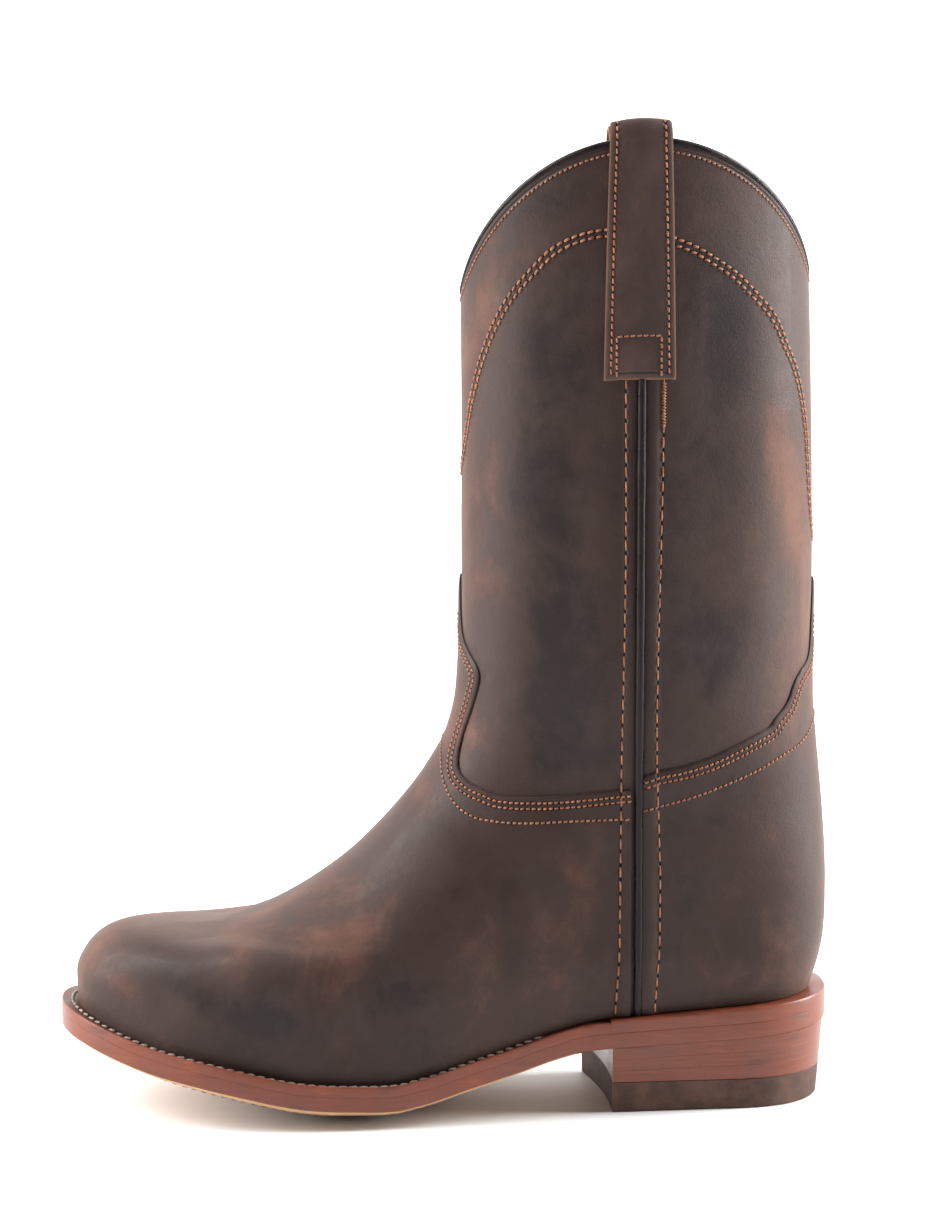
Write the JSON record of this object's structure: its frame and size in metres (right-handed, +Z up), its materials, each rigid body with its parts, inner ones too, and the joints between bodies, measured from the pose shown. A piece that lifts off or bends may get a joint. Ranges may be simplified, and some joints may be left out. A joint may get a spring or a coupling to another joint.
{
  "type": "roper boot",
  "caption": "Pull-on leather roper boot for the left foot, with round toe, scalloped shaft, pull straps, welted leather sole and low stacked heel.",
  "frame": {"origin": "on the floor, under the middle of the boot's bounding box", "axes": "+Z up, -X towards the toe, -Y towards the outer side of the left foot"},
  "size_m": [0.297, 0.107, 0.3753],
  "materials": {
    "upper_leather": "oiled dark brown nubuck-like leather, matte to satin, with reddish pull-up patches and rust-coloured stitching",
    "edge_leather": "near-black smooth leather of the piping and the collar binding, satin",
    "sole_leather": "reddish-brown burnished leather edge, natural tan underneath",
    "insole_leather": "smooth vegetable-tanned insole",
    "heel_rubber": "matte dark olive-brown rubber"
  },
  "bodies": {
    "root": {"upper": "upper_leather", "vamp": "upper_leather", "counter": "upper_leather", "pull_strap_outer": "upper_leather", "pull_strap_inner": "upper_leather", "collar_binding": "edge_leather", "piping_outer": "edge_leather", "piping_inner": "edge_leather", "insole": "insole_leather", "welt": "sole_leather", "heel_rand": "sole_leather", "outsole": "sole_leather", "heel_lift_1": "sole_leather", "heel_lift_2": "sole_leather", "heel_lift_3": "sole_leather", "top_lift": "heel_rubber"}
  },
  "joints": []
}
